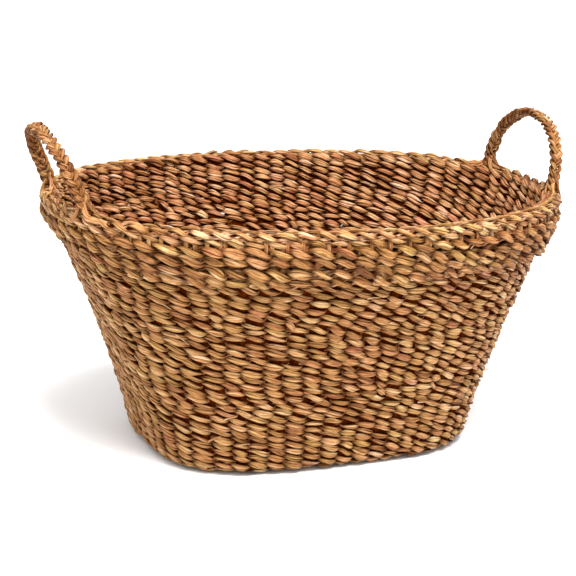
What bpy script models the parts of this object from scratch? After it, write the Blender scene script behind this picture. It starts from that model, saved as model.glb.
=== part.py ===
"""Oval seagrass storage basket with a turned-down cuff and two plaited loop handles.

The body is twined: stakes cross on the floor in bundles and turn up inside the wall, a woven lining
closes them in, and one round of weaving after another covers them outside. The frame has its origin
at the centre of the floor's underside, +X along the basket, +Y across it and +Z up, in metres.
"""

import functools
import math

import bmesh
import bpy
import numpy as np
from mathutils import Matrix, Vector

# Driving dimensions
RIM_LENGTH = 0.455
RIM_WIDTH = 0.340
BODY_HEIGHT = 0.220
BASE_LENGTH = 0.289
BASE_WIDTH = 0.209
FLARE_LENGTH = 0.1698  # how much longer the wall would be at BODY_HEIGHT than at the floor
FLARE_WIDTH = 0.1348
FLARE_POWER = 1.29
BASE_SQUARENESS = 3.3  # superellipse powers of the plan: 2 is an ellipse, more is squarer
RIM_SQUARENESS = 2.2
EDGE_ROUNDING = 0.006
EDGE_ROUNDING_HEIGHT = 0.018

# Layers, measured inwards from the outside of the wall
GAP = 0.0003
ROUND_DEPTH = 0.003
STAKE_OUT, STAKE_IN = 0.0034, 0.0056
LINING_OUT, LINING_IN = 0.0061, 0.0101
LINING_UNDER, LINING_FLOOR = 0.0085, 0.0125
LOWER_STAKES = (0.0034, 0.0056)
UPPER_STAKES = (0.0059, 0.0081)

# Weaving
SIDES = 32  # flat panels around every round
SIDE_CROWDING = (0.15, -0.10)  # turns more panels towards the flatter stretches of the plan
WALL_ROUNDS = 27
FLOOR_ROUNDS = 5
FLOOR_ROUND_WIDTH = 0.0155
STAKE_WIDTH = 0.005
STAKE_SPACING = 0.0058
STAKES_IN_BUNDLE = 4
BUNDLE_TIE = 0.030

# Cuff and border
CUFF_BOTTOM = 0.178
CUFF_CREST = 0.206
CUFF_TOP = 0.2105
CUFF_PROUD = 0.0105
CUFF_ROUNDS = 5
LINING_TOP = 0.215
STAKE_TOP = 0.206
BORDER_CENTRE = (0.2154, -0.0025)  # height, depth
BORDER_HALF = (0.0046, 0.0058)

# Handles
HANDLE_FOOT_X = 0.211
HANDLE_SPAN = 0.117
HANDLE_RISE = 0.054
HANDLE_SQUARENESS = 2.3
HANDLE_LEAN = {"left": math.radians(24), "right": math.radians(8)}
LASHING_RADIUS = 0.0055
STRAND_DIAMETER = 0.0036
PLAIT_HALF_WIDTH = 0.0045
PLAIT_HALF_DEPTH = 0.0034
STRAND_END_GAP = 0.0014
PLAIT_LENGTH = 0.038  # along the handle, for one full turn of a strand
STRAND_POINTS = 40

# Heights at which every layer bends, so that the flat faces of all layers stay parallel
LEVELS = (0.0, 0.006, 0.018, 0.060, 0.110, CUFF_BOTTOM, CUFF_CREST, BODY_HEIGHT)

WEAVE_COLOUR = (0.47, 0.27, 0.11, 1.0)
LINING_COLOUR = (0.42, 0.23, 0.10, 1.0)
STAKE_COLOUR = (0.36, 0.24, 0.11, 1.0)
CUFF_COLOUR = (0.52, 0.31, 0.14, 1.0)
HANDLE_COLOUR = (0.55, 0.33, 0.16, 1.0)


def clear_scene():
    for obj in list(bpy.data.objects):
        bpy.data.objects.remove(obj)


def seagrass(name, colour):
    material = bpy.data.materials.new(name)
    material.use_nodes = True
    shader = material.node_tree.nodes["Principled BSDF"]
    shader.inputs["Base Color"].default_value = colour
    shader.inputs["Roughness"].default_value = 0.62
    shader.inputs["Metallic"].default_value = 0.0
    return material


def add_mesh(name, vertices, faces, material):
    mesh = bpy.data.meshes.new(name)
    mesh.from_pydata(vertices, [], faces)
    mesh.materials.append(material)
    work = bmesh.new()
    work.from_mesh(mesh)
    bmesh.ops.recalc_face_normals(work, faces=work.faces)
    work.to_mesh(mesh)
    work.free()
    mesh.shade_smooth()
    mesh.set_sharp_from_angle(angle=math.radians(35))
    obj = bpy.data.objects.new(name, mesh)
    basket_collection.objects.link(obj)
    obj.parent = basket_empty
    return obj


# The shape of the wall


def wall_half_axes(z):
    """Half the length and half the width of the outside of the wall at height z."""
    rise = min(z, CUFF_BOTTOM) / BODY_HEIGHT
    half_x = BASE_LENGTH / 2 + FLARE_LENGTH / 2 * rise**FLARE_POWER
    half_y = BASE_WIDTH / 2 + FLARE_WIDTH / 2 * rise**FLARE_POWER
    tuck_under = EDGE_ROUNDING * max(0, 1 - z / EDGE_ROUNDING_HEIGHT) ** 2
    into_cuff = max(0, z - CUFF_BOTTOM) / (CUFF_CREST - CUFF_BOTTOM)
    half_x += (RIM_LENGTH / 2 - CUFF_PROUD - half_x) * into_cuff
    half_y += (RIM_WIDTH / 2 - CUFF_PROUD - half_y) * into_cuff
    return half_x - tuck_under, half_y - tuck_under


def side_turns():
    """The direction that each flat panel faces, the same at all heights and in all layers."""
    turn = 2 * math.pi * (np.arange(SIDES) + 0.5) / SIDES
    return turn + SIDE_CROWDING[0] * np.sin(2 * turn) + SIDE_CROWDING[1] * np.sin(4 * turn)


@functools.lru_cache(maxsize=None)
def panel_reach(level, depth):
    """How far each panel of a superellipse, at LEVELS[level] and depth inwards, is from the middle."""
    z = LEVELS[level]
    half_x, half_y = wall_half_axes(z)
    squareness = BASE_SQUARENESS + (RIM_SQUARENESS - BASE_SQUARENESS) * z / BODY_HEIGHT
    power = squareness / (squareness - 1)
    turns = side_turns()
    x_share = np.abs((half_x - depth) * np.cos(turns)) ** power
    y_share = np.abs((half_y - depth) * np.sin(turns)) ** power
    return (x_share + y_share) ** (1 / power)


def ring_points(z, depth):
    """The wall's corners at height z, depth inwards from its outside, counter-clockwise from +X."""
    level = min(sum(z >= height for height in LEVELS) - 1, len(LEVELS) - 2)
    low, high = LEVELS[level], LEVELS[level + 1]
    share = (z - low) / (high - low)
    reach = panel_reach(level, depth) * (1 - share) + panel_reach(level + 1, depth) * share
    turn = side_turns()
    last_turn, last_reach = np.roll(turn, 1), np.roll(reach, 1)
    sine = np.sin(turn - last_turn)
    x = (last_reach * np.sin(turn) - reach * np.sin(last_turn)) / sine
    y = (reach * np.cos(last_turn) - last_reach * np.cos(turn)) / sine
    return [Vector((*corner, z)) for corner in zip(x, y)]


def wall_point(stake, aside, z, depth):
    """A point on the wall beside stake number stake, two stakes to each side of the plan."""
    ring = ring_points(z, depth)
    side = stake // 2
    start, end = ring[side], ring[(side + 1) % SIDES]
    centre = start.lerp(end, 0.25 + 0.5 * (stake % 2))
    return centre + (end - start).normalized() * aside


# Woven rounds, floor and lining


def add_ring(name, section, material):
    """A closed band around the basket. Its section is a list of (height, depth) corners."""
    rings = [ring_points(z, depth) for z, depth in section]
    vertices = [point for ring in rings for point in ring]
    count = len(section)
    faces = []
    for row in range(count):
        for i in range(SIDES):
            j, above = (i + 1) % SIDES, (row + 1) % count
            faces.append((row * SIDES + i, row * SIDES + j, above * SIDES + j, above * SIDES + i))
    return add_mesh(name, vertices, faces, material)


def add_plate(name, heights, depth, material):
    """A flat solid across the basket, with its edge depth inwards from the outside of the wall."""
    under, top = (ring_points(z, depth) for z in heights)
    faces = [tuple(range(SIDES)), tuple(range(SIDES, 2 * SIDES))]
    faces += [(i, (i + 1) % SIDES, SIDES + (i + 1) % SIDES, SIDES + i) for i in range(SIDES)]
    return add_mesh(name, under + top, faces, material)


def add_wall_rounds(material):
    """Rounds of weaving on the outside of the wall, with a groove between each two."""
    pitch = CUFF_BOTTOM / WALL_ROUNDS
    for number in range(WALL_ROUNDS):
        low = number * pitch + (GAP if number else 0)
        high = (number + 1) * pitch
        groove = 0.25 * pitch
        section = [(low, ROUND_DEPTH), (low + groove, 0), (high - groove, 0), (high, ROUND_DEPTH)]
        if number == 0:
            section[1] = (0.0, 0.0005)
        add_ring(f"wall_round_{number + 1:02d}", section, material)


def add_floor(material):
    """Flat rounds that cover the stakes from below, around a solid centre."""
    depth = ROUND_DEPTH + GAP
    for number in range(FLOOR_ROUNDS):
        inner = depth + FLOOR_ROUND_WIDTH
        section = [(0, depth), (0, inner), (ROUND_DEPTH, inner), (ROUND_DEPTH, depth)]
        add_ring(f"floor_round_{FLOOR_ROUNDS - number}", section, material)
        depth = inner + GAP
    add_plate("floor_centre", (0, ROUND_DEPTH), depth, material)


def add_lining(material):
    """The inner faces of all the rounds: a ring up the wall to the border, and the floor in it."""
    bends = [z for z in LEVELS if LINING_UNDER < z < LINING_TOP]
    outside = [(z, LINING_OUT) for z in (LINING_UNDER, *bends, LINING_TOP)]
    inside = [(z, LINING_IN) for z in (LINING_TOP, *reversed(bends), LINING_UNDER)]
    add_ring("inner_weave_lining", outside + inside, material)
    add_plate("inner_weave_floor", (LINING_UNDER, LINING_FLOOR), LINING_IN + GAP, material)


# Stakes


def stake_line(along_x, middle, aside, ends, floor_heights):
    """One long edge of a stake, from the top of one wall, under the floor, to the top of the other.

    It returns (outer point, inner point) pairs. ends holds the stake's number in each of the walls
    and which way round the plan its sides run there.
    """
    low, high = floor_heights
    bends = [z for z in LEVELS if high < z <= STAKE_TOP]

    def climb(stake, turn):
        foot = [(wall_point(stake, turn * aside, low, STAKE_OUT),
                 wall_point(stake, turn * aside, high, STAKE_IN))]
        rise = [
            tuple(wall_point(stake, turn * aside, z, depth) for depth in (STAKE_OUT, STAKE_IN))
            for z in bends
        ]
        return foot + rise

    def tied(end):
        spot = (end, middle) if along_x else (middle, end)
        return tuple(Vector((*spot, z)) for z in (low, high))

    first, second = ends
    tie = [tied(-BUNDLE_TIE / 2), tied(BUNDLE_TIE / 2)]
    return climb(*first)[::-1] + tie + climb(*second)


def add_stake_bundle(name, along_x, centre, pairs, floor_heights, material):
    """Stakes side by side, tied in the middle of the floor, that fan out and turn up both walls."""
    lines = []
    for place, (first, second) in enumerate(pairs):
        offset = (place - (len(pairs) - 1) / 2) * STAKE_SPACING
        for aside in (-STAKE_WIDTH / 2, STAKE_WIDTH / 2):
            ends = ((first, -1 if along_x else 1), (second, 1 if along_x else -1))
            lines.append(stake_line(along_x, centre + offset + aside, aside, ends, floor_heights))
    stations = len(lines[0])
    tie_station = stations // 2 - 1
    vertices = [point for line in lines for pair in line for point in pair]

    def corner(line, station, inner):
        return (line * stations + station) * 2 + inner

    def filled(line, station):
        """Whether the strip between this line and the next is solid from this station on."""
        if not (0 <= line < len(lines) - 1 and 0 <= station < stations - 1):
            return False
        return line % 2 == 0 or station == tie_station

    faces = []
    for line in range(-1, len(lines)):
        for station in range(-1, stations):
            here = filled(line, station)
            if here:
                for inner in (0, 1):
                    faces.append([corner(*spot, inner) for spot in (
                        (line, station), (line + 1, station), (line + 1, station + 1), (line, station + 1))])
            if here != filled(line + 1, station):
                faces.append([corner(line + 1, station, 0), corner(line + 1, station + 1, 0),
                              corner(line + 1, station + 1, 1), corner(line + 1, station, 1)])
            if here != filled(line, station + 1):
                faces.append([corner(line, station + 1, 0), corner(line + 1, station + 1, 0),
                              corner(line + 1, station + 1, 1), corner(line, station + 1, 1)])
    return add_mesh(name, vertices, faces, material)


def add_stakes(material):
    """64 stake ends: 12 up each long side from three bundles, 20 up each end from five."""
    stakes = 2 * SIDES
    back_centre = stakes // 4
    for number, centre in enumerate((-0.050, 0.0, 0.050)):
        pairs = []
        for place in range(STAKES_IN_BUNDLE):
            back = back_centre + 5 - (number * STAKES_IN_BUNDLE + place)
            pairs.append((stakes - 1 - back, back))
        add_stake_bundle(f"cross_stakes_{number + 1}", False, centre, pairs, LOWER_STAKES, material)
    for number, centre in enumerate((-0.048, -0.024, 0.0, 0.024, 0.048)):
        pairs = []
        for place in range(STAKES_IN_BUNDLE):
            right = (number * STAKES_IN_BUNDLE + place - 10) % stakes
            pairs.append(((stakes // 2 - 1 - right) % stakes, right))
        add_stake_bundle(f"long_stakes_{number + 1}", True, centre, pairs, UPPER_STAKES, material)


# Cuff and border


def cuff_proud(z):
    """How far the outside of the cuff stands out from the wall at height z."""
    reach = 0.030 if z < CUFF_CREST else 0.016
    return CUFF_PROUD * math.sqrt(1 - ((z - CUFF_CREST) / reach) ** 2)


def add_cuff(weave, stake):
    pitch = (CUFF_TOP - CUFF_BOTTOM) / CUFF_ROUNDS
    for number in range(CUFF_ROUNDS):
        low = CUFF_BOTTOM + number * pitch + GAP
        high = CUFF_BOTTOM + (number + 1) * pitch
        thirds = (low + 0.3 * pitch, high - 0.3 * pitch)
        section = [(low, ROUND_DEPTH - cuff_proud(low))]
        section += [(z, -cuff_proud(z)) for z in thirds]
        section += [(high, ROUND_DEPTH - cuff_proud(high))]
        add_ring(f"cuff_round_{number + 1}", section, weave)
    fold_heights = (CUFF_BOTTOM + 0.002, 0.188, 0.196, CUFF_CREST)
    clearance = ROUND_DEPTH + 0.0006
    outside = [(z, clearance - cuff_proud(z)) for z in fold_heights]
    inside = [(fold_heights[-1], ROUND_DEPTH), (fold_heights[0], ROUND_DEPTH)]
    add_ring("turned_down_stake_ends", outside + inside, stake)


def add_border(material):
    """The plait that closes the top edge."""
    height, depth = BORDER_CENTRE
    section = []
    for step in range(8):
        angle = math.radians(22.5 + 45 * step)
        scale = 1 / math.cos(math.radians(22.5))
        section.append((
            height + BORDER_HALF[0] * scale * math.sin(angle),
            depth + BORDER_HALF[1] * scale * math.cos(angle),
        ))
    add_ring("border_plait", section, material)


# Handles


def arch_points():
    """The handle's middle line as (across, up) from the middle of its feet, evenly spaced."""
    angle = np.linspace(0, math.pi, 721)
    power = 2 / HANDLE_SQUARENESS
    across = -HANDLE_SPAN / 2 * np.sign(np.cos(angle)) * np.abs(np.cos(angle)) ** power
    up = HANDLE_RISE * np.abs(np.sin(angle)) ** power
    length = np.concatenate([[0], np.cumsum(np.hypot(np.diff(across), np.diff(up)))])
    clear = LASHING_RADIUS + STRAND_END_GAP
    along = np.linspace(clear, length[-1] - clear, STRAND_POINTS)
    return along, np.interp(along, length, across), np.interp(along, length, up)


def add_strand(name, number, joint_empty, material):
    """One of the plait's three strands: it swings from side to side, and over or under the others."""
    along, across, up = arch_points()
    tangent = np.stack([np.gradient(across), np.gradient(up)], axis=1)
    tangent /= np.linalg.norm(tangent, axis=1)[:, None]
    phase = 2 * math.pi * (along / PLAIT_LENGTH + number / 3)
    sideways = PLAIT_HALF_WIDTH * np.sin(phase)
    outwards = PLAIT_HALF_DEPTH * np.sin(2 * phase)
    curve = bpy.data.curves.new(name, "CURVE")
    curve.dimensions = "3D"
    curve.bevel_depth = STRAND_DIAMETER / 2
    curve.bevel_resolution = 1
    curve.use_fill_caps = True
    spline = curve.splines.new("POLY")
    spline.points.add(STRAND_POINTS - 1)
    for i, point in enumerate(spline.points):
        y = across[i] - outwards[i] * tangent[i, 1]
        z = up[i] + outwards[i] * tangent[i, 0]
        point.co = (sideways[i], y, z, 1)
    curve.materials.append(material)
    obj = bpy.data.objects.new(name, curve)
    basket_collection.objects.link(obj)
    obj.parent = joint_empty


def add_lashing(name, place, material):
    mesh = bpy.data.meshes.new(name)
    work = bmesh.new()
    bmesh.ops.create_uvsphere(work, u_segments=12, v_segments=6, radius=LASHING_RADIUS)
    work.to_mesh(mesh)
    work.free()
    mesh.materials.append(material)
    mesh.shade_smooth()
    obj = bpy.data.objects.new(name, mesh)
    obj.location = place
    basket_collection.objects.link(obj)
    obj.parent = basket_empty


def add_handle(side, material):
    """A plaited loop that leans outwards about the line through its feet, and a lashing at each foot."""
    outward = -1 if side == "left" else 1
    pivot_height = BODY_HEIGHT + GAP + LASHING_RADIUS
    joint_empty = bpy.data.objects.new(f"{side}_handle_pivot", None)
    joint_empty.location = (outward * HANDLE_FOOT_X, 0, pivot_height)
    joint_empty.rotation_euler = (0, outward * HANDLE_LEAN[side], 0)
    basket_collection.objects.link(joint_empty)
    joint_empty.parent = basket_empty
    for number, letter in enumerate("abc"):
        add_strand(f"{side}_handle_strand_{letter}", number, joint_empty, material)
    for place, y in (("front", -HANDLE_SPAN / 2), ("back", HANDLE_SPAN / 2)):
        foot = (outward * HANDLE_FOOT_X, y, pivot_height)
        add_lashing(f"{side}_handle_{place}_lashing", foot, material)


clear_scene()
basket_collection = bpy.data.collections.new("seagrass_basket")
bpy.context.scene.collection.children.link(basket_collection)
basket_empty = bpy.data.objects.new("basket", None)
basket_collection.objects.link(basket_empty)

weave_material = seagrass("seagrass_weave", WEAVE_COLOUR)
lining_material = seagrass("seagrass_lining", LINING_COLOUR)
stake_material = seagrass("seagrass_stakes", STAKE_COLOUR)
cuff_material = seagrass("seagrass_cuff", CUFF_COLOUR)
handle_material = seagrass("seagrass_handles", HANDLE_COLOUR)

add_floor(weave_material)
add_stakes(stake_material)
add_wall_rounds(weave_material)
add_lining(lining_material)
add_cuff(cuff_material, stake_material)
add_border(cuff_material)
for handle_side in ("left", "right"):
    add_handle(handle_side, handle_material)
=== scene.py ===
"""Seagrass storage basket on a pale floor, seen from the front, a little to the left and from above.

Every row of the weave is two strands twisted around each other and around the stakes, as on the
real basket. Lengths are in metres, in the frame of the CAD model. A share is a part of the way
around the basket, from +X and counter-clockwise, so 0.5 is the middle of its left end.
"""

import math

import bpy
import numpy as np
from mathutils import Matrix, Vector


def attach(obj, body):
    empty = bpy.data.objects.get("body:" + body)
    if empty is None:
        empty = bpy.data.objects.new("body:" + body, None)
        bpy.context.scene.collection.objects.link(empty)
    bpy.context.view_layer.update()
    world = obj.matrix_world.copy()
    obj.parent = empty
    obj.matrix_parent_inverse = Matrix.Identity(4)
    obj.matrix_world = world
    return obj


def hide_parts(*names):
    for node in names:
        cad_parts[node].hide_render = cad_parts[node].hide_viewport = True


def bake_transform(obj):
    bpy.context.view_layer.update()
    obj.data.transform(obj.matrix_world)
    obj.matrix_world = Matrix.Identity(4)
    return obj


# The wall's outside: half axes and squareness of a superellipse at each height
BODY_HEIGHT = 0.220
BASE_HALF = np.array([0.1445, 0.1045])
FLARE_HALF = np.array([0.0849, 0.0674])
RIM_HALF = np.array([0.2275, 0.170])
FLARE_POWER = 1.29
BASE_SQUARENESS, RIM_SQUARENESS = 3.28, 2.18
OUTLINE_STEPS = 1441

# The middle of the wall's thickness, from the floor's centre to the top
HALF_THICK = 0.005
CORNER_RADIUS = 0.007
CORNER_LENGTH = CORNER_RADIUS * math.pi / 2
MIDDLE_BASE = HALF_THICK + CORNER_RADIUS
SQUARE_FLOOR_HALF = 0.085  # the floor's rows are as square as the wall here, and rounder towards the centre
SMALLEST_HALF = 0.0008  # so that no row shrinks to a point

# Stakes. As the wall widens, late ones begin in pairs between the others.
STAKES, STAKES_FROM_FLOOR = 74, 58
LATE_STAKES_FROM, LATE_STAKES_TO = 0.055, 0.165
LATE_STAKE_OFFSET = 0.4
LATE_STAKE_GROWTH = 0.025  # the height in which one grows to its full width
LATE_STAKE_FIRST_WIDTH, LATE_STAKE_ADDED_WIDTH = 0.4, 0.6
STAKE_WIDTH_SPREAD = 0.08
STAKE_HALF_THICK = 0.0003
STAKE_COVER = 0.54  # half a stake's width against its pitch, so that neighbours overlap a little
# painted shade: the stakes are painted darker and in the full shade colour
STAKE_PAINTED_SHADE = (-0.5, 0.0, 0.0)
FIRST_STAKE_PLACE, STAKE_PLACES = -0.010, 28
FLOOR_STAKE_PLACES = 12
FLOOR_STAKE_OVERLAP = 1.1

# Places of the rows
FLOOR_ROWS, CORNER_ROWS = 14, 2
FLOOR_ROWS_PER_PIECE, WALL_ROWS_PER_PIECE = 6, 4
FLOOR_STITCH, FEWEST_FLOOR_STITCHES = 0.0145, 8
WALL_PITCH = 0.0062
FIRST_WALL_ROW, LAST_WALL_ROW = 0.0150, 0.2136

# The folded-down cuff
CUFF_BOTTOM, CUFF_CREST, CUFF_PROUD = 0.178, 0.206, 0.0105
CUFF_TAPER, CUFF_TAPER_POWER = 0.55, 1.4
CUFF_SLIMMER, CUFF_SLIMMER_SHARE, CUFF_SLIMMER_SPREAD = 0.0060, 0.46, 0.11
CUFF_ROW_HEIGHTS = ((0.1785, 0.1868), (0.1954, 0.2040))  # for each of its two pieces
CUFF_ROW = {"reach": 0.0025, "lift": 0.0026, "half_width": 0.0039, "half_thick": 0.0021,
            "unevenness": 0.0010, "light": -0.3}
STUBS_PER_STAKE, STUB_UNEVENNESS = 2, 0.12
STUB_BOTTOM, STUB_TOP, STUB_PLACES = 0.1990, 0.2120, 6
STUB_CREST, STUB_BEND_HEIGHT = 0.2065, 0.0065
STUB_INSET, STUB_BEND = 0.0006, 0.0028
STUB_HALF_WIDTH, STUB_WIDTH_SPREAD, STUB_HALF_THICK = 0.0020, 0.0004, 0.0012
# the last of these gives the stubs a little painted shade
STUB_LIGHT_SPREAD, STUB_HUE_SPREAD, STUB_UNSHADED = 0.7, 0.6, 0.8

# The braid along the top edge
BORDER_HEIGHT, BORDER_PROUD, BORDER_STITCHES = 0.2132, 0.0055, 76
BORDER_ROW_ANGLES = (-24, 42, 108, 172)
BORDER_STAGGER = 0.37  # from row to row, in stitches
BORDER_ROW = {"reach": 0.0016, "lift": 0.0023, "half_width": 0.0029, "half_thick": 0.0016,
              "proud": 0.0036, "unevenness": 0.0006, "light": 0.7}
CORE_RADIUS, CORE_PLACES = 0.0032, 360

# Handles: plaits of three strands, whose feet are given by side as (front, back)
HANDLE_FOOT_X = 0.211
HANDLE_FEET = {"left": (-0.053, 0.056), "right": (-0.055, 0.058)}
HANDLE_RISE = {"left": 0.054, "right": 0.0505}
HANDLE_SQUARENESS = {"left": (2.3, 2.3), "right": (2.3, 1.85)}
HANDLE_LEAN = {"left": math.radians(24), "right": math.radians(8)}
HANDLE_TAIL, HANDLE_PLACES = 0.013, 220
PIVOT_HEIGHT = 0.2258  # of the handles' joints
PLAIT_LENGTH = 0.0200  # in which each strand crosses to the other side and back
PLAIT_STITCHES, PLAIT_STITCH_OFFSET = 2, 0.7  # in that length, and from strand to strand
PLAIT_SIDEWAYS, PLAIT_LIFT = 0.0037, 0.0022
PLAIT_HALF_WIDTH, PLAIT_HALF_THICK, PLAIT_SIZE_SPREAD = 0.0029, 0.0019, 0.10
PLAIT_LIGHT, PLAIT_CALM = -0.6, 0.9

# The strands' ends that fan out along the border from the handles' feet
ROOT_ANGLES = (20, 60, 95, 130, 165, 45, 110, 150)
ROOT_ANGLE_SPREAD = 8
ROOT_PLACES = 16
ROOT_LENGTH, ROOT_LENGTH_SPREAD = 0.014, 0.016
ROOT_START_HEIGHT, ROOT_START_SPREAD = 0.003, 0.0016
ROOT_RADIUS, ROOT_SINKING = 0.0072, 0.0026
ROOT_HALF_WIDTH, ROOT_TAPER, ROOT_HALF_THICK = 0.0023, 0.5, 0.0012
ROOT_MERGING = 2.4
# the second of these gives the roots a trace of painted shade
ROOT_STITCHES, ROOT_UNSHADED, ROOT_LIGHT = 2, 0.95, 0.3
ROOT_SEARCH_PLACES = 1440

# Short ends of leaves that stand out from the weave
LOOSE_ENDS, LOOSE_END_PLACES = 70, 6
LOOSE_END_LOWEST, LOOSE_END_HEIGHTS = 0.02, 0.185
LOOSE_END_LENGTH, LOOSE_END_LENGTH_SPREAD = 0.008, 0.007
LOOSE_END_LEAN = 0.45
LOOSE_END_BASE, LOOSE_END_LIFT = 0.0034, 0.0022
LOOSE_END_CUFF_FROM, LOOSE_END_CUFF_INSET = 0.182, 0.001
LOOSE_END_HALF_WIDTH, LOOSE_END_TAPER, LOOSE_END_HALF_THICK = 0.0010, 0.75, 0.0004
# the last of these gives the loose ends no painted shade
LOOSE_END_LIGHT, LOOSE_END_LIGHT_SPREAD, LOOSE_END_UNSHADED = 1.2, 0.6, 1.0

# Stitches of a twined row
STITCH_STEPS = 8
WALL_SEED, CUFF_SEED, BORDER_SEED, SECOND_STRAND_SEED = 100, 300, 400, 31
SLOW_WAVES, QUICK_WAVES = (1, 2, 3, 5, 8), (11, 17, 23, 29)
STITCH_JITTER = 0.06  # along the row, in stitches
SIZE_SPREAD, LOOSE_SPREAD, SLIP_SPREAD, SLANT_SPREAD = 0.15, 0.18, 0.0006, 0.25
BULGE_POWER = 0.55  # below 1, so that a strand stays out for most of its stitch
SHINGLE = 0.25  # how far a stitch's upper edge tilts in, under the row above
HIDDEN_WIDTH, ADDED_WIDTH, WIDTH_POWER = 0.42, 0.58, 0.7
# painted shade where a strand dips behind a stake: its value there, and what it gains as it comes out
HIDDEN_UNSHADED, ADDED_UNSHADED = 0.10, 1.25
# the outside's and the inside's hues, and painted light that makes the inside stitches lighter
OUTER_HUE, INNER_HUE, INNER_PAINTED_LIGHT = 0.35, -1.0, 0.5

# Leaves of a strand, in shares of the strand's half width and half thickness
SECTION_STEPS = 6  # points around a leaf, which Strands.add_caps counts on
LEAF_SPACING, LEAF_WIDTH, LEAF_THICKNESS = 0.66, 1.25, 0.72
LEAF_CROWN = 0.35
LEAF_DRIFT_SIDEWAYS, LEAF_DRIFT_OUT, LEAF_DRIFT_WIDTH = 0.13, 0.30, 0.07
LEAF_TWIST = 60  # of its streaks, in radians to the metre
SHARED_LIGHT, OWN_LIGHT, SHARED_HUE, OWN_HUE = 0.60, 0.90, 0.75, 0.40
OWN_VALUE, NEIGHBOUR_VALUE = 0.75, 0.4
EDGE_SHADE = 0.75  # painted shade: how much darker a leaf is at its thin edges, where it meets its neighbours

# Colour of dried leaf, from its darkest level to its lightest
LEAF_COLOURS = (
    (0.0, (0.100, 0.030, 0.005, 1)),
    (0.3, (0.240, 0.088, 0.020, 1)),
    (0.5, (0.360, 0.156, 0.044, 1)),
    (0.72, (0.480, 0.254, 0.098, 1)),
    (1.0, (0.64, 0.44, 0.26, 1)),
)
# painted shade: the colour that a leaf is multiplied towards where the weave hides it
PAINTED_SHADE_COLOUR = (0.15, 0.052, 0.010, 1)
FINE_STREAKS, BROAD_STREAKS = (3.6, 0.8, 4), (1.2, 1.1, 2)  # scale around, scale along, detail
STREAK_ROUGHNESS = 0.6
STREAK_LENGTH = 100  # what the streaks' coordinate grows by in a metre of leaf
STREAK_STARTS = 400  # how far apart two leaves may start on that coordinate
FINE_CONTRAST = 1.7
LIGHT_TO_LEVEL, HUE_TO_SHIFT = 0.15, 0.008
LOWEST_ROUGHNESS, ADDED_ROUGHNESS, HIGHEST_SPECULAR = 0.36, 0.35, 0.25
BUMP_STRENGTH, BUMP_DISTANCE, BROAD_BUMP = 0.9, 0.0006, 0.5
NODE_SPACING = 200

# Camera, floor and light
CAMERA_AZIMUTH, CAMERA_ELEVATION, CAMERA_ROLL = (math.radians(angle) for angle in (-23.06, 15.17, 2.2))
CAMERA_DISTANCE, AIM_LEFT, AIM_HEIGHT = 1.5, 0.01162, 0.12839
CAMERA_LENS, CAMERA_SENSOR = 108, 36  # in millimetres
FLOOR_HALF, FLOOR_DROP = 12.0, 0.0005  # half its side, and how far it lies below the CAD's underside
FLOOR_WHITE, FLOOR_ROUGHNESS, FLOOR_SPECULAR = (0.93, 0.93, 0.93, 1), 0.8, 0.1
WORLD_STRENGTH = 1.08
LIGHT_AIM = Vector((0, 0, 0.1))

random = np.random.default_rng(7)


def plan_stakes():
    """The height where each stake begins, below 0 for one from the floor, and its relative width."""
    late = STAKES - STAKES_FROM_FLOOR
    heights = random.permutation(np.linspace(LATE_STAKES_FROM, LATE_STAKES_TO, late // 2))
    starts = np.full(STAKES, -1.0)
    starts[((np.arange(late) + LATE_STAKE_OFFSET) * STAKES / late).astype(int)] = np.repeat(heights, 2)
    return starts, 1 + STAKE_WIDTH_SPREAD * random.normal(0, 1, STAKES)


STAKE_STARTS, STAKE_WIDTHS = plan_stakes()


# Shape of the basket


def wall_half_axes(z):
    """Half the length and half the width of the outside of the wall at height z."""
    half = BASE_HALF + FLARE_HALF * (min(z, CUFF_BOTTOM) / BODY_HEIGHT) ** FLARE_POWER
    into_cuff = max(0, z - CUFF_BOTTOM) / (CUFF_CREST - CUFF_BOTTOM)
    return half + (RIM_HALF - CUFF_PROUD - half) * into_cuff


def squareness(z):
    return BASE_SQUARENESS + (RIM_SQUARENESS - BASE_SQUARENESS) * z / BODY_HEIGHT


def lengths_along(points):
    """The length of a line of points from its first point to each of them."""
    return np.concatenate([[0], np.cumsum(np.linalg.norm(np.diff(points, axis=0), axis=1))])


def points_along(points, length, at):
    """The places on a flat line of points at the given lengths along it."""
    return np.column_stack([np.interp(at, length, column) for column in points.T])


def ring(half, power, share):
    """Points at the given shares of the way around a superellipse, and its whole length."""
    angle = np.linspace(0, 2 * math.pi, OUTLINE_STEPS)
    sides = np.abs(np.cos(angle) / half[0]) ** power + np.abs(np.sin(angle) / half[1]) ** power
    radius = sides ** (-1 / power)
    outline = np.column_stack([radius * np.cos(angle), radius * np.sin(angle)])
    length = lengths_along(outline)
    return points_along(outline, length, np.mod(share, 1) * length[-1]), length[-1]


def middle_ring(place, share):
    """A ring of the middle of the wall. place is a height above the corner, and below 0 it is the
    distance along the corner and then the floor, from the corner's top."""
    if place >= 0:
        z = MIDDLE_BASE + place
        half, power = wall_half_axes(z) - HALF_THICK, squareness(z)
    elif place > -CORNER_LENGTH:
        turn = -place / CORNER_RADIUS
        z = HALF_THICK + CORNER_RADIUS * (1 - math.sin(turn))
        half = wall_half_axes(z) - HALF_THICK - CORNER_RADIUS * (1 - math.cos(turn))
        power = squareness(z)
    else:
        z = HALF_THICK
        half = wall_half_axes(z) - HALF_THICK - CORNER_RADIUS - (-place - CORNER_LENGTH)
        power = 2 + (squareness(z) - 2) * max(0, half[1]) / SQUARE_FLOOR_HALF
    points, length = ring(np.maximum(half, SMALLEST_HALF), power, share)
    return np.column_stack([points, np.full(len(points), z)]), length


def unit(vectors):
    return vectors / np.linalg.norm(vectors, axis=-1, keepdims=True)


def squared_to(path, vectors):
    """Unit vectors at right angles to path, as near as they can be to the given ones."""
    return unit(vectors - path * np.sum(vectors * path, axis=1, keepdims=True))


def smooth_step(value):
    return value * value * (3 - 2 * value)


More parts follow.
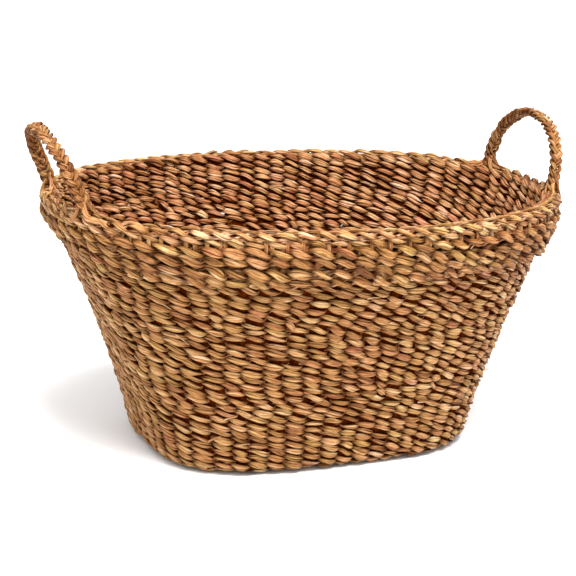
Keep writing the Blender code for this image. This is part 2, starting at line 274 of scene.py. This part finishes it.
def frame_along(place, share):
    """Points of a ring, their directions along it, up the wall and out of the wall, and its length."""
    nearby = 1e-4
    points, length = middle_ring(place, share)
    along = unit(middle_ring(place, share + nearby)[0] - middle_ring(place, share - nearby)[0])
    up = squared_to(along, middle_ring(place + nearby, share)[0] - middle_ring(place - nearby, share)[0])
    return points, along, up, np.cross(along, up), length


def wobble(share, size, waves, seed):
    """Slow unevenness around a row: a sum of a few waves, the same at both ends."""
    source = np.random.default_rng(seed)
    total = np.zeros_like(share)
    for wave in waves:
        total += source.normal() * np.sin(2 * math.pi * (wave * share + source.random()))
    return size * total / math.sqrt(len(waves))


# Strands


class Strands:
    """Gathers the leaves of one piece, with the data that its material reads.

    fibre runs around and along a leaf, for its streaks. tone is its lightness, its hue, and its
    unshaded value, which is painted shade: 0 where it is hidden in the weave and 1 where it comes out.
    """

    def __init__(self):
        self.points, self.faces, self.fibre, self.tone, self.count = [], [], [], [], 0

    def add(self, centre, flat, thin, half_width, half_thick, tone, closed=True, twist=0.0):
        """One leaf. flat and thin are its section's directions, wide and narrow."""
        steps = len(centre)
        around = np.linspace(0, 2 * math.pi, SECTION_STEPS, endpoint=False)
        along = lengths_along(centre)[:, None]
        turn = around[None, :] + twist * along
        wide = (half_width[:, None] * np.cos(around))[..., None]
        deep = (half_thick[:, None] * np.sin(around))[..., None]
        self.points.append((centre[:, None] + flat[:, None] * wide + thin[:, None] * deep).reshape(-1, 3))
        lengthwise = along * STREAK_LENGTH + random.random() * STREAK_STARTS
        fibre = np.stack([np.cos(turn), np.sin(turn), np.broadcast_to(lengthwise, turn.shape)], -1)
        self.fibre.append(fibre.reshape(-1, 3))
        tone = np.repeat(tone[:, None], SECTION_STEPS, axis=1)
        # painted shade along a leaf's thin edges
        tone[..., 2] *= 1 - EDGE_SHADE * np.abs(np.cos(around)) ** 4
        self.tone.append(tone.reshape(-1, 3))
        rows = np.arange(steps if closed else steps - 1)
        i, j = np.meshgrid(rows, np.arange(SECTION_STEPS), indexing="ij")
        next_i, next_j = (i + 1) % steps, (j + 1) % SECTION_STEPS
        quads = np.stack([i * SECTION_STEPS + j, i * SECTION_STEPS + next_j,
                          next_i * SECTION_STEPS + next_j, next_i * SECTION_STEPS + j], -1)
        self.faces.append(quads.reshape(-1, 4) + self.count)
        if not closed:
            self.add_caps(steps)
        self.count += steps * SECTION_STEPS

    def add_caps(self, steps):
        """Two quads over each end of a leaf, which close its section of six points."""
        for first in (0, (steps - 1) * SECTION_STEPS):
            cap = np.array([[0, 1, 2, 3], [0, 3, 4, 5]]) + first + self.count
            self.faces.append(cap if first else cap[:, ::-1])

    def build(self, name, material):
        points, faces = np.concatenate(self.points), np.concatenate(self.faces)
        mesh = bpy.data.meshes.new(name)
        mesh.vertices.add(len(points))
        mesh.vertices.foreach_set("co", points.astype(np.float32).ravel())
        mesh.loops.add(faces.size)
        mesh.loops.foreach_set("vertex_index", faces.astype(np.int32).ravel())
        mesh.polygons.add(len(faces))
        mesh.polygons.foreach_set("loop_start", np.arange(0, faces.size, 4, dtype=np.int32))
        mesh.update(calc_edges=True)
        mesh.validate()
        for attribute, values in (("fibre", self.fibre), ("tone", self.tone)):
            data = mesh.attributes.new(attribute, "FLOAT_VECTOR", "POINT").data
            data.foreach_set("vector", np.concatenate(values).astype(np.float32).ravel())
        mesh.shade_smooth()
        mesh.materials.append(material)
        obj = bpy.data.objects.new(name, mesh)
        bpy.context.scene.collection.objects.link(obj)
        return obj


def stitch_values(stitch):
    """A random value for each stitch, a little like its neighbour's."""
    values = random.normal(0, 1, stitch.max() + 1)
    return (OWN_VALUE * values + NEIGHBOUR_VALUE * np.roll(values, 1))[stitch]


def drift(at, size):
    """Random values at the whole numbers of at, joined smoothly. The last joins the first."""
    count = int(at[-1]) + 1
    values = random.normal(0, size, count)
    part = smooth_step(at % 1)
    low = at.astype(int) % count
    return values[low] * (1 - part) + values[(low + 1) % count] * part


def add_leaves(strands, centre, flat, thin, half_width, half_thick, at, unshaded, light=0.0, hue=0.0,
               calm=1.0, leaves=3, closed=True, facing=1.0):
    """A strand of a few leaves side by side. at counts stitches along it, and calm is how strongly
    the stitches' colours differ. facing is the side of thin that is seen."""
    stitch = at.astype(int)
    shared_light, shared_hue = stitch_values(stitch), stitch_values(stitch)
    for leaf in range(leaves):
        aside = (2 * leaf + 1) / leaves - 1
        sideways = half_width * (LEAF_SPACING * aside + drift(at, LEAF_DRIFT_SIDEWAYS))
        raised = half_thick * (LEAF_CROWN * facing * (1 - abs(aside)) + drift(at, LEAF_DRIFT_OUT))
        middle = centre + flat * sideways[:, None] + thin * raised[:, None]
        width = half_width * (LEAF_WIDTH / leaves + drift(at, LEAF_DRIFT_WIDTH))
        own_light = calm * (SHARED_LIGHT * shared_light + OWN_LIGHT * stitch_values(stitch)) + light
        own_hue = calm * (SHARED_HUE * shared_hue + OWN_HUE * stitch_values(stitch)) + hue
        tone = np.stack([own_light, own_hue, unshaded], -1)
        strands.add(middle, flat, thin, width, half_thick * LEAF_THICKNESS, tone, closed, LEAF_TWIST)


def stake_edges(z):
    """Where each stake that has begun at height z has its edges, as shares, and which they are."""
    begun = z > STAKE_STARTS
    grown = np.clip((z - STAKE_STARTS[begun]) / LATE_STAKE_GROWTH, 0, 1)
    widths = STAKE_WIDTHS[begun] * (LATE_STAKE_FIRST_WIDTH + LATE_STAKE_ADDED_WIDTH * grown)
    return np.concatenate([[0], np.cumsum(widths)]) / widths.sum(), np.flatnonzero(begun)


def stitch_places(edges):
    """The steps of a row, counted in stitches, and as shares of the way around."""
    at = (np.arange((len(edges) - 1) * STITCH_STEPS) + 0.5) / STITCH_STEPS
    return at, np.interp(at, np.arange(len(edges)), edges)


def add_twined_row(strands, place, edges, seed, reach=0.0022, lift=0.0020, half_width=0.0031,
                   half_thick=0.0018, proud=0.0, unevenness=0.0006, turned=None, light=0.0):
    """Two strands that pass in turn outside and inside each stake. reach is how far they go out and
    in, and lift how far up and down. A turned row lies on the border's core instead, with its
    outside turned up from the wall's by that angle."""
    stakes = len(edges) - 1
    at, share = stitch_places(edges)
    stitch = at.astype(int)
    rise_and_fall = wobble(share, unevenness, SLOW_WAVES, seed)
    for strand in (0, 1):
        jitter = wobble(share, STITCH_JITTER / stakes, QUICK_WAVES, seed + SECOND_STRAND_SEED * strand)
        points, _, up, outward, _ = frame_along(place, share + jitter)
        if turned is not None:
            points = points + outward * BORDER_PROUD
            up, outward = (up * math.cos(turned) - outward * math.sin(turned),
                           outward * math.cos(turned) + up * math.sin(turned))
        phase = math.pi * (at - 0.5 + strand)
        cosine, sine = np.cos(phase), np.sin(phase)
        over = np.abs(cosine)
        size = 1 + SIZE_SPREAD * random.normal(0, 1, stakes)[stitch]
        loose = 1 + LOOSE_SPREAD * random.normal(0, 1, stakes)[stitch]
        slip = SLIP_SPREAD * random.normal(0, 1, stakes)[stitch]
        slant = 1 + SLANT_SPREAD * random.normal(0, 1, stakes)[stitch]
        centre = points + outward * (reach * loose * np.sign(cosine) * over**BULGE_POWER + proud)[:, None]
        centre += up * (-lift * sine * slant + rise_and_fall + slip * over)[:, None]
        path = unit(np.roll(centre, -1, axis=0) - np.roll(centre, 1, axis=0))
        flat = squared_to(path, up - outward * (SHINGLE * cosine)[:, None])
        width = half_width * (HIDDEN_WIDTH + ADDED_WIDTH * over**WIDTH_POWER) * size
        # painted shade, darker where each strand dips behind a stake
        add_leaves(strands, centre, flat, np.cross(path, flat), width, np.full(len(at), half_thick), at,
                   unshaded=np.clip(HIDDEN_UNSHADED + ADDED_UNSHADED * over, 0, 1),
                   # painted light: the inside stitches are made lighter
                   light=light + np.where(cosine > 0, 0.0, INNER_PAINTED_LIGHT),
                   hue=np.where(cosine > 0, OUTER_HUE, INNER_HUE), facing=np.sign(cosine))


# Materials


def node(tree, kind, inputs, **settings):
    """A new shader node. Each given input is set to a value, or joined to another node's output."""
    made = tree.nodes.new(kind)
    made.location = (NODE_SPACING * len(tree.nodes), 0)
    for key, value in settings.items():
        setattr(made, key, value)
    for key, value in inputs.items():
        if isinstance(value, bpy.types.NodeSocket):
            tree.links.new(value, made.inputs[key])
        else:
            made.inputs[key].default_value = value
    return made


def calculate(tree, operation, first, second):
    return node(tree, "ShaderNodeMath", {0: first, 1: second}, operation=operation).outputs[0]


def streaks(tree, fibre, kind, seed):
    """Noise stretched along the leaf, from 0 to 1."""
    scale_around, scale_along, detail = kind
    mapping = node(tree, "ShaderNodeMapping", {
        "Vector": fibre,
        "Scale": (scale_around, scale_around, scale_along),
        "Location": (seed, seed * 2, seed * 3),
    })
    noise = node(tree, "ShaderNodeTexNoise", {
        "Vector": mapping.outputs["Vector"],
        "Scale": 1.0,
        "Detail": detail,
        "Roughness": STREAK_ROUGHNESS,
    })
    return noise.outputs["Fac"]


def leaf_colour(tree, fine, broad, light, hue, unshaded):
    """A colour of dried leaf by its streaks and lightness, shifted in hue, and with painted shade in the
    recesses.
    """
    fine_part = calculate(tree, "MULTIPLY", calculate(tree, "SUBTRACT", fine, 0.5), FINE_CONTRAST)
    broad_part = calculate(tree, "SUBTRACT", broad, 0.5)
    own_level = calculate(tree, "ADD", calculate(tree, "MULTIPLY", light, LIGHT_TO_LEVEL), 0.5)
    level = calculate(tree, "ADD", own_level, calculate(tree, "ADD", fine_part, broad_part))
    ramp = node(tree, "ShaderNodeValToRGB", {"Fac": level})
    elements = ramp.color_ramp.elements
    elements[0].position, elements[0].color = LEAF_COLOURS[0]
    elements[1].position, elements[1].color = LEAF_COLOURS[-1]
    for position, colour in LEAF_COLOURS[1:-1]:
        elements.new(position).color = colour
    shift = calculate(tree, "ADD", calculate(tree, "MULTIPLY", hue, HUE_TO_SHIFT), 0.5)
    shifted = node(tree, "ShaderNodeHueSaturation", {"Hue": shift, "Color": ramp.outputs["Color"]})
    # painted shade: the colour goes towards the shade colour where the unshaded value is low
    shade = node(tree, "ShaderNodeMix", {"Factor": unshaded, "A": PAINTED_SHADE_COLOUR, "B": (1, 1, 1, 1)},
                 data_type="RGBA")
    shaded = node(tree, "ShaderNodeMix", {
        "Factor": 1.0,
        "A": shifted.outputs["Color"],
        "B": shade.outputs["Result"],
    }, data_type="RGBA", blend_type="MULTIPLY")
    return shaded.outputs["Result"]


def seagrass(name, seed=0.0):
    """Dried leaf: streaks along the strand, and a different lightness and hue in every stitch."""
    material = bpy.data.materials.new(name)
    material.use_nodes = True
    tree = material.node_tree
    fibre = node(tree, "ShaderNodeAttribute", {}, attribute_name="fibre").outputs["Vector"]
    tone = node(tree, "ShaderNodeAttribute", {}, attribute_name="tone").outputs["Vector"]
    light, hue, unshaded = node(tree, "ShaderNodeSeparateXYZ", {"Vector": tone}).outputs
    fine = streaks(tree, fibre, FINE_STREAKS, seed)
    broad = streaks(tree, fibre, BROAD_STREAKS, seed)

    colour = leaf_colour(tree, fine, broad, light, hue, unshaded)
    roughness = calculate(tree, "ADD", calculate(tree, "MULTIPLY", fine, ADDED_ROUGHNESS), LOWEST_ROUGHNESS)
    # less specular in the painted shade
    specular = calculate(tree, "MULTIPLY", unshaded, HIGHEST_SPECULAR)
    bump = node(tree, "ShaderNodeBump", {
        "Strength": BUMP_STRENGTH,
        "Distance": BUMP_DISTANCE,
        "Height": calculate(tree, "ADD", fine, calculate(tree, "MULTIPLY", broad, BROAD_BUMP)),
    })
    shader = tree.nodes["Principled BSDF"]
    tree.links.new(colour, shader.inputs["Base Color"])
    tree.links.new(roughness, shader.inputs["Roughness"])
    tree.links.new(specular, shader.inputs["Specular IOR Level"])
    tree.links.new(bump.outputs["Normal"], shader.inputs["Normal"])
    return material


def plain_floor():
    material = bpy.data.materials.new("pale_floor")
    material.use_nodes = True
    shader = material.node_tree.nodes["Principled BSDF"]
    shader.inputs["Base Color"].default_value = FLOOR_WHITE
    shader.inputs["Roughness"].default_value = FLOOR_ROUGHNESS
    shader.inputs["Specular IOR Level"].default_value = FLOOR_SPECULAR
    return material


# Pieces


def weave_rows():
    """The place of each row, from the floor's centre to the rim, and the piece that it belongs to."""
    floor_pitch = (wall_half_axes(HALF_THICK)[1] - HALF_THICK - CORNER_RADIUS) / FLOOR_ROWS
    rows = []
    for i in range(FLOOR_ROWS - 1, -1, -1):
        piece = f"floor_{math.ceil(i / FLOOR_ROWS_PER_PIECE)}"
        rows.append((-CORNER_LENGTH - floor_pitch * (i + 0.5), piece))
    for i in range(CORNER_ROWS):
        rows.append((-CORNER_LENGTH + CORNER_LENGTH * (i + 0.5) / CORNER_ROWS, "floor_0"))
    for i, z in enumerate(np.arange(FIRST_WALL_ROW, LAST_WALL_ROW, WALL_PITCH)):
        rows.append((z - MIDDLE_BASE, f"wall_{i // WALL_ROWS_PER_PIECE + 1}"))
    return rows


def floor_edges(place):
    """An even number of equal stitches for a row of the floor, so that its strands alternate."""
    length = middle_ring(place, np.array([0.0]))[1]
    stitches = max(FEWEST_FLOOR_STITCHES, 2 * round(length / FLOOR_STITCH / 2))
    return np.linspace(0, 1, 1 + min(STAKES_FROM_FLOOR, stitches))


def build_weave(material):
    """Floor, corner and wall rows, from the floor's centre to the rim."""
    strands = {}
    for number, (place, piece) in enumerate(weave_rows()):
        edges = floor_edges(place) if place < -CORNER_LENGTH else stake_edges(MIDDLE_BASE + place)[0]
        add_twined_row(strands.setdefault(piece, Strands()), place, edges, seed=WALL_SEED + number)
    return {piece: gathered.build(f"weave_{piece}", material) for piece, gathered in strands.items()}


def add_stake(strands, centre, across, outward, half_width):
    """A flat stake. Its tone is painted shade: dark all over, because it lies deep in the weave."""
    count = len(centre)
    strands.add(centre, across, outward, half_width, np.full(count, STAKE_HALF_THICK),
                np.tile(STAKE_PAINTED_SHADE, (count, 1)), closed=False)


def build_stakes(material):
    """Flat stakes in the middle of the wall, from the corner to the rim, and along the floor."""
    strands = Strands()
    tracks = {}
    for place in np.linspace(FIRST_STAKE_PLACE, LAST_WALL_ROW - MIDDLE_BASE, STAKE_PLACES):
        edges, begun = stake_edges(MIDDLE_BASE + place)
        points, along, _, outward, length = frame_along(place, (edges[1:] + edges[:-1]) / 2)
        pitch = length * np.diff(edges)
        for i, stake in enumerate(begun):
            tracks.setdefault(stake, []).append((points[i], along[i], outward[i], pitch[i]))
    for track in tracks.values():
        centre, across, outward, pitch = (np.array(column) for column in zip(*track))
        add_stake(strands, centre, across, outward, pitch * STAKE_COVER)
    add_floor_stakes(strands)
    return strands.build("stakes", material)


def add_floor_stakes(strands):
    """The stakes where they lie side by side along the floor, between its two faces."""
    half = wall_half_axes(HALF_THICK) - HALF_THICK - 0.5 * CORNER_RADIUS
    power = squareness(HALF_THICK)
    count = FLOOR_STAKE_PLACES
    across, up = np.tile([0.0, 1.0, 0.0], (count, 1)), np.tile([0.0, 0.0, 1.0], (count, 1))
    half_width = np.full(count, FLOOR_STAKE_OVERLAP * half[1] / FLOOR_ROWS)
    for place in (np.arange(FLOOR_ROWS) + 0.5) / FLOOR_ROWS * 2 - 1:
        reach = half[0] * (1 - abs(place) ** power) ** (1 / power)
        centre = np.column_stack([np.linspace(-reach, reach, count), np.full(count, place * half[1]),
                                  np.full(count, HALF_THICK)])
        add_stake(strands, centre, across, up, half_width)


def cuff_proud(z, share):
    """How far the cuff stands out. It is slimmer at the basket's left end."""
    below = max(0, CUFF_CREST - z) / (CUFF_CREST - CUFF_BOTTOM)
    slimmer = CUFF_SLIMMER * below * np.exp(-(((share - CUFF_SLIMMER_SHARE) / CUFF_SLIMMER_SPREAD) ** 2))
    return CUFF_PROUD * (1 - CUFF_TAPER * below**CUFF_TAPER_POWER) - slimmer


def build_cuff(material):
    """The folded-down end of the wall: coarser rows, and the turned-down stakes above them."""
    edges, _ = stake_edges(BODY_HEIGHT)
    _, share = stitch_places(edges)
    lower, upper = Strands(), Strands()
    seed = CUFF_SEED
    for strands, heights in zip((lower, upper), CUFF_ROW_HEIGHTS):
        for z in heights:
            add_twined_row(strands, z - MIDDLE_BASE, edges, seed, proud=cuff_proud(z, share), **CUFF_ROW)
            seed += 1
    add_stubs(upper, edges)
    return lower.build("cuff_weave_1", material), upper.build("cuff_weave_2", material)


def add_stubs(strands, edges):
    """Short lengths of the stakes, seen between the border and the cuff's first row."""
    count = STUBS_PER_STAKE * (len(edges) - 1)
    at = (np.arange(count) + 0.5) / STUBS_PER_STAKE + STUB_UNEVENNESS * random.normal(0, 1, count)
    z = np.linspace(STUB_BOTTOM, STUB_TOP, STUB_PLACES)
    out = CUFF_PROUD - STUB_INSET - STUB_BEND * ((z - STUB_CREST) / STUB_BEND_HEIGHT) ** 2
    for share in np.interp(at, np.arange(len(edges)), edges):
        frames = zip(*(frame_along(height - MIDDLE_BASE, np.array([share])) for height in z))
        points, along, _, outward, _ = (np.array(values).reshape(STUB_PLACES, -1) for values in frames)
        tone = (random.normal() * STUB_LIGHT_SPREAD, random.normal() * STUB_HUE_SPREAD, STUB_UNSHADED)
        half_width = STUB_HALF_WIDTH + STUB_WIDTH_SPREAD * random.random()
        strands.add(points + outward * out[:, None], along, outward, np.full(STUB_PLACES, half_width),
                    np.full(STUB_PLACES, STUB_HALF_THICK), np.tile(tone, (STUB_PLACES, 1)), closed=False)


def build_border(material):
    """The braid along the top edge: rows of long stitches around a core."""
    strands = Strands()
    place = BORDER_HEIGHT - MIDDLE_BASE
    edges = np.linspace(0, 1, BORDER_STITCHES + 1)
    for number, angle in enumerate(BORDER_ROW_ANGLES):
        add_twined_row(strands, place, edges + number * BORDER_STAGGER / BORDER_STITCHES,
                       seed=BORDER_SEED + number, turned=math.radians(angle), **BORDER_ROW)
    points, _, up, outward, _ = frame_along(place, np.arange(CORE_PLACES) / CORE_PLACES)
    radius = np.full(CORE_PLACES, CORE_RADIUS)
    # the core is in full painted shade, as it lies under the rows
    strands.add(points + outward * BORDER_PROUD, up, outward, radius, radius, np.zeros((CORE_PLACES, 3)))
    return strands.build("border_braid", material)


def arch(side):
    """Evenly spaced points of a handle's middle line, from the front foot to the back one, with a
    straight tail below each: how far along they are, the points as (across, up), and directions."""
    angle = np.linspace(0, math.pi, OUTLINE_STEPS)
    front, back = HANDLE_FEET[side]
    power = 2 / np.where(angle < math.pi / 2, *HANDLE_SQUARENESS[side])
    middle, half = (front + back) / 2, (back - front) / 2
    across = middle - half * np.sign(np.cos(angle)) * np.abs(np.cos(angle)) ** power
    up = HANDLE_RISE[side] * np.abs(np.sin(angle)) ** power
    line = np.vstack([[across[0], -HANDLE_TAIL], np.column_stack([across, up]), [across[-1], -HANDLE_TAIL]])
    length = lengths_along(line)
    at = np.linspace(0, length[-1], HANDLE_PLACES)
    points = points_along(line, length, at)
    return at, points, unit(np.gradient(points, axis=0))


def build_handle(side, material):
    """Three strands plaited along the arch. Their ends go down into the border."""
    outward = -1 if side == "left" else 1
    lean = outward * HANDLE_LEAN[side]
    cosine, sine = math.cos(lean), math.sin(lean)
    leaning = np.array([[cosine, 0, sine], [0, 1, 0], [-sine, 0, cosine]])
    at, points, direction = arch(side)
    normal = np.stack([-direction[:, 1], direction[:, 0]], 1)
    out_of_arch = np.column_stack([np.zeros(len(at)), normal]) @ leaning.T
    strands = Strands()
    for strand in range(3):
        phase = 2 * math.pi * (at / PLAIT_LENGTH + strand / 3)
        lifted = PLAIT_LIFT * np.sin(2 * phase)
        upright = np.column_stack([PLAIT_SIDEWAYS * np.sin(phase), points + normal * lifted[:, None]])
        centre = upright @ leaning.T + [outward * HANDLE_FOOT_X, 0, PIVOT_HEIGHT]
        path = unit(np.gradient(centre, axis=0))
        thin = squared_to(path, out_of_arch)
        stitches = at / PLAIT_LENGTH * PLAIT_STITCHES + PLAIT_STITCH_OFFSET * strand
        size = 1 + PLAIT_SIZE_SPREAD * random.normal(0, 1, int(stitches[-1]) + 1)[stitches.astype(int)]
        # painted shade on each strand, darker at the plait's edges, where it turns
        add_leaves(strands, centre, np.cross(thin, path), thin, PLAIT_HALF_WIDTH * size,
                   np.full(len(at), PLAIT_HALF_THICK), stitches, unshaded=0.5 + 0.5 * np.abs(np.cos(phase)),
                   light=PLAIT_LIGHT, calm=PLAIT_CALM, closed=False)
    return strands.build(f"{side}_handle_plait", material)


def build_roots(material):
    """The ends of the handles' strands, that fan out along the border from each foot."""
    strands = Strands()
    place = BORDER_HEIGHT - MIDDLE_BASE
    shares = np.arange(ROOT_SEARCH_PLACES) / ROOT_SEARCH_PLACES
    points, _, _, outward, length = frame_along(place, shares)
    core = points + outward * BORDER_PROUD
    step = np.linspace(0, 1, ROOT_PLACES)
    merging = smooth_step(np.clip(step * ROOT_MERGING, 0, 1))[:, None]
    radius = (ROOT_RADIUS - ROOT_SINKING * step**2)[:, None]
    half_width = ROOT_HALF_WIDTH * (1 - ROOT_TAPER * step**3)
    half_thick = np.full(ROOT_PLACES, ROOT_HALF_THICK)
    left_feet = [(-HANDLE_FOOT_X, y) for y in HANDLE_FEET["left"]]
    right_feet = [(HANDLE_FOOT_X, y) for y in HANDLE_FEET["right"]]
    for x, y in left_feet + right_feet:
        foot = np.array([x, y, PIVOT_HEIGHT + ROOT_START_HEIGHT])
        nearest = shares[np.argmin(np.linalg.norm(core[:, :2] - foot[:2], axis=1))]
        for number, around in enumerate(ROOT_ANGLES):
            reach = (ROOT_LENGTH + ROOT_LENGTH_SPREAD * random.random()) / length
            onward = reach if number % 2 else -reach
            points, _, up, out, _ = frame_along(place, nearest + onward * step)
            angle = math.radians(around + ROOT_ANGLE_SPREAD * random.normal())
            radial = out * math.cos(angle) + up * math.sin(angle)
            laid = points + out * BORDER_PROUD + radial * radius
            start = foot + random.normal(0, ROOT_START_SPREAD, 3)
            centre = start * (1 - merging) + laid * merging
            path = unit(np.gradient(centre, axis=0))
            thin = squared_to(path, radial)
            add_leaves(strands, centre, np.cross(thin, path), thin, half_width, half_thick,
                       ROOT_STITCHES * step, unshaded=np.full(ROOT_PLACES, ROOT_UNSHADED), light=ROOT_LIGHT,
                       leaves=2, closed=False)
    return strands.build("handle_roots", material)


def build_loose_ends(material):
    """Short ends of leaves that stand out a little from the wall and the cuff, a third of them inside."""
    strands = Strands()
    step = np.linspace(0, 1, LOOSE_END_PLACES)
    half_width = LOOSE_END_HALF_WIDTH * (1 - LOOSE_END_TAPER * step)
    half_thick = np.full(len(step), LOOSE_END_HALF_THICK)
    for number in range(LOOSE_ENDS):
        height = LOOSE_END_LOWEST + LOOSE_END_HEIGHTS * random.random()
        share = np.full(len(step), random.random())
        points, along, up, outward, _ = frame_along(height - MIDDLE_BASE, share)
        lean = random.normal(0, LOOSE_END_LEAN)
        reach = LOOSE_END_LENGTH + LOOSE_END_LENGTH_SPREAD * random.random()
        if number % 3 == 0:
            out = -LOOSE_END_BASE - LOOSE_END_LIFT * step**2
        else:
            cuff = (CUFF_PROUD - LOOSE_END_CUFF_INSET) * (height > LOOSE_END_CUFF_FROM)
            out = LOOSE_END_BASE + cuff + LOOSE_END_LIFT * step**2
        centre = points + along * (reach * step * math.cos(lean))[:, None] + outward * out[:, None]
        centre += up * (reach * step * math.sin(lean))[:, None]
        light = LOOSE_END_LIGHT + LOOSE_END_LIGHT_SPREAD * random.normal()
        tone = np.tile([light, random.normal(), LOOSE_END_UNSHADED], (len(step), 1))
        path = unit(np.gradient(centre, axis=0))
        flat = unit(np.cross(outward, path))
        strands.add(centre, flat, np.cross(path, flat), half_width, half_thick, tone, closed=False)
    return strands.build("loose_ends", material)


def add_basket(nodes):
    """Every piece, and the CAD nodes that it stands for. All but the handles ride on the basket's body."""
    weave = seagrass("seagrass_weave")
    pieces = build_weave(weave)
    for piece in pieces.values():
        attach(piece, "basket")
    stakes = build_stakes(seagrass("seagrass_stakes", seed=3.0))
    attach(stakes, "basket")
    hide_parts("floor_centre", "inner_weave_floor",
                *[n for n in nodes if n.startswith("floor_round")])
    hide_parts("inner_weave_lining", *[n for n in nodes if n.startswith("wall_round")])
    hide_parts("turned_down_stake_ends", *[n for n in nodes if "_stakes_" in n])
    lower_cuff, upper_cuff = build_cuff(weave)
    for cuff in (lower_cuff, upper_cuff):
        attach(cuff, "basket")
    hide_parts(*[n for n in nodes if n.startswith("cuff_round")])
    border = build_border(weave)
    for piece in (border, build_roots(weave), build_loose_ends(weave)):
        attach(piece, "basket")
    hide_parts("border_plait")
    for side, outward in (("left", -1), ("right", 1)):
        handle = build_handle(side, weave)
        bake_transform(handle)
        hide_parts(*[n for n in nodes if n.startswith(f"{side}_handle")])


# The scene around the basket


def add_camera():
    """A camera at the left front and a little above, rolled so that the basket's right end is lower."""
    azimuth, elevation, roll = CAMERA_AZIMUTH, CAMERA_ELEVATION, CAMERA_ROLL
    back = Vector((math.sin(azimuth) * math.cos(elevation), -math.cos(azimuth) * math.cos(elevation),
                   math.sin(elevation)))
    right = Vector((math.cos(azimuth), math.sin(azimuth), 0))
    up = back.cross(right)
    turned_right = right * math.cos(roll) + up * math.sin(roll)
    turned_up = up * math.cos(roll) - right * math.sin(roll)
    aim = Vector((-AIM_LEFT * math.cos(azimuth), -AIM_LEFT * math.sin(azimuth), AIM_HEIGHT))
    camera = bpy.data.objects.new("camera", bpy.data.cameras.new("camera"))
    camera.data.lens = CAMERA_LENS
    camera.data.sensor_width = CAMERA_SENSOR
    rotation = Matrix((turned_right, turned_up, back)).transposed()
    camera.matrix_world = Matrix.Translation(aim + back * CAMERA_DISTANCE) @ rotation.to_4x4()
    bpy.context.scene.collection.objects.link(camera)
    bpy.context.scene.camera = camera


def add_floor():
    half, z = FLOOR_HALF, -FLOOR_DROP
    corners = [(-half, -half, z), (half, -half, z), (half, half, z), (-half, half, z)]
    mesh = bpy.data.meshes.new("floor")
    mesh.from_pydata(corners, [], [(0, 1, 2, 3)])
    mesh.materials.append(plain_floor())
    floor = bpy.data.objects.new("floor", mesh)
    bpy.context.scene.collection.objects.link(floor)


def add_area_light(name, place, size, power):
    light = bpy.data.objects.new(name, bpy.data.lights.new(name, "AREA"))
    light.data.energy = power
    light.data.size = size
    light.location = place
    light.rotation_euler = (LIGHT_AIM - Vector(place)).to_track_quat("-Z", "Y").to_euler()
    bpy.context.scene.collection.objects.link(light)


def add_light():
    """A white surround and two soft lights. The Standard view transform keeps the white white."""
    world = bpy.data.worlds.new("studio")
    world.use_nodes = True
    background = world.node_tree.nodes["Background"]
    background.inputs["Color"].default_value = (1, 1, 1, 1)
    background.inputs["Strength"].default_value = WORLD_STRENGTH
    bpy.context.scene.world = world
    bpy.context.scene.view_settings.view_transform = "Standard"
    add_area_light("key_light", (-0.9, -1.2, 1.6), size=1.0, power=8)
    add_area_light("top_light", (0.0, -1.0, 2.15), size=1.2, power=105)


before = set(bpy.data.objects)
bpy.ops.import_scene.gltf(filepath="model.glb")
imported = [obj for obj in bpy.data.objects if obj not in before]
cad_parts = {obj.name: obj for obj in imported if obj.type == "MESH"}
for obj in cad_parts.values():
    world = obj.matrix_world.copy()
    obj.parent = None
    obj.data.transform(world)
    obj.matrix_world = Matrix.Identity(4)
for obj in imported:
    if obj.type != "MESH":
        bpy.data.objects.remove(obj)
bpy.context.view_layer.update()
add_basket(list(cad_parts))
add_camera()
add_floor()
add_light()
